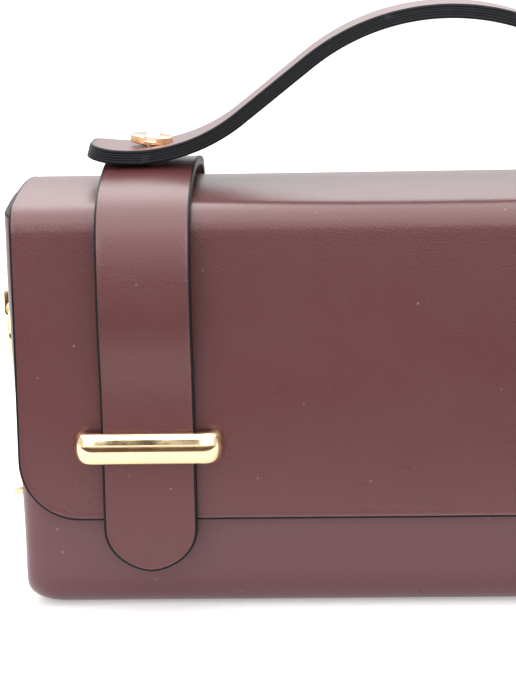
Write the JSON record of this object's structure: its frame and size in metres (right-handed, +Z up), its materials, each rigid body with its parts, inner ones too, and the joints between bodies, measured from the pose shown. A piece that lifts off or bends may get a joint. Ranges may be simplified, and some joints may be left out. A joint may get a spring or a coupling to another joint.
{
  "type": "leather flap handbag",
  "caption": "Structured burgundy leather flap handbag with laminated top handle, straps held by gold staple keepers, and hanging rings on the sides.",
  "frame": {"origin": "middle of the flat base, on the surface that the bag stands on", "axes": "+Z up, -Y towards the front with the flap's long leg, +X to the right of someone who looks at the front"},
  "size_m": [0.286, 0.0905, 0.1862],
  "materials": {
    "burgundy_leather": "smooth semi-gloss",
    "gold_metal": "polished"
  },
  "bodies": {
    "bag": {"body_shell": "burgundy_leather", "flap": "burgundy_leather", "handle": "burgundy_leather", "strap_left": "burgundy_leather", "strap_right": "burgundy_leather", "keeper_left": "gold_metal", "handle_stud_left": "gold_metal", "ring_lug_left": "gold_metal", "side_stud_front_left": "gold_metal", "side_stud_back_left": "gold_metal", "keeper_right": "gold_metal", "handle_stud_right": "gold_metal", "ring_lug_right": "gold_metal", "side_stud_front_right": "gold_metal", "side_stud_back_right": "gold_metal"},
    "left_ring": {"side_ring_left": "gold_metal"},
    "right_ring": {"side_ring_right": "gold_metal"}
  },
  "joints": [
    {"name": "left_ring_swing", "type": "hinge", "parent": "bag", "child": "left_ring", "pos_m": [-0.14035, 0, 0.0907], "axis": [0, 1, 0], "range_deg": [-4, 150]},
    {"name": "right_ring_swing", "type": "hinge", "parent": "bag", "child": "right_ring", "pos_m": [0.14035, 0, 0.0907], "axis": [0, -1, 0], "range_deg": [-4, 150]}
  ]
}
